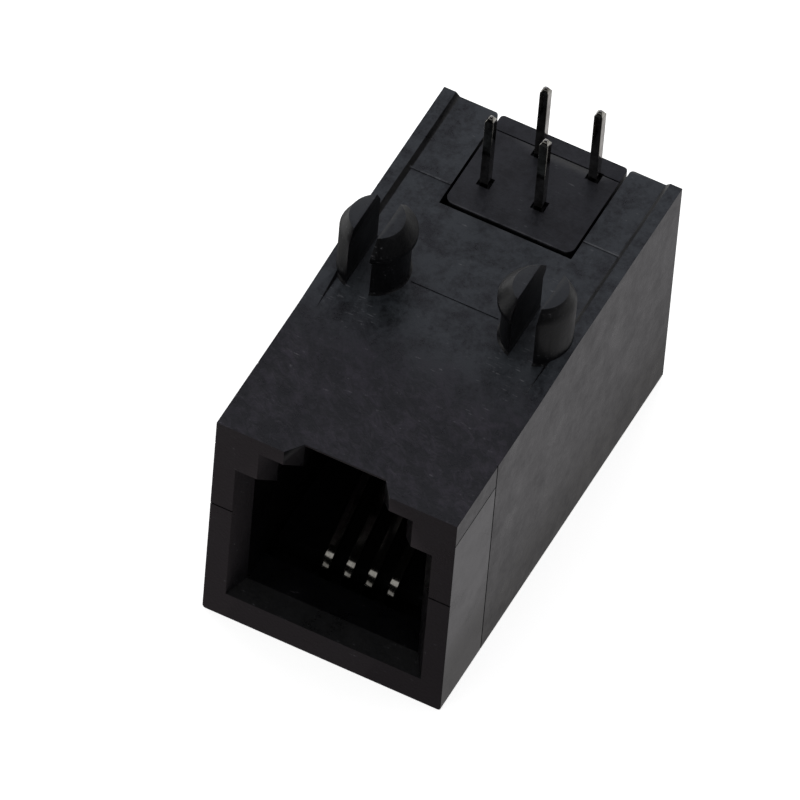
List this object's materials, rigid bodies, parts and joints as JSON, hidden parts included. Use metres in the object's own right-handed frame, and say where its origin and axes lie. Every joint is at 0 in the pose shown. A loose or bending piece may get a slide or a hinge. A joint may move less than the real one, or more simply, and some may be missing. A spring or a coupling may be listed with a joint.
{
  "type": "modular jack",
  "caption": "Black board-mount modular jack, a square box with a stepped latch mouth, spring wire contacts inside, split snap pegs and solder tails.",
  "frame": {"origin": "middle of the flat cover face on which the jack lies, board side up", "axes": "+X across the mouth, +Y from the mouth to the back, +Z from the cover face to the board side"},
  "size_m": [0.0112, 0.0206, 0.0165],
  "materials": {
    "housing_plastic": "moulded, lightly textured black",
    "carrier_plastic": "moulded, satin black",
    "plated_wire": "bright plated wire"
  },
  "bodies": {
    "root": {"housing": "housing_plastic", "contact_carrier": "carrier_plastic", "contact_1": "plated_wire", "contact_2": "plated_wire", "contact_3": "plated_wire", "contact_4": "plated_wire"}
  },
  "joints": []
}
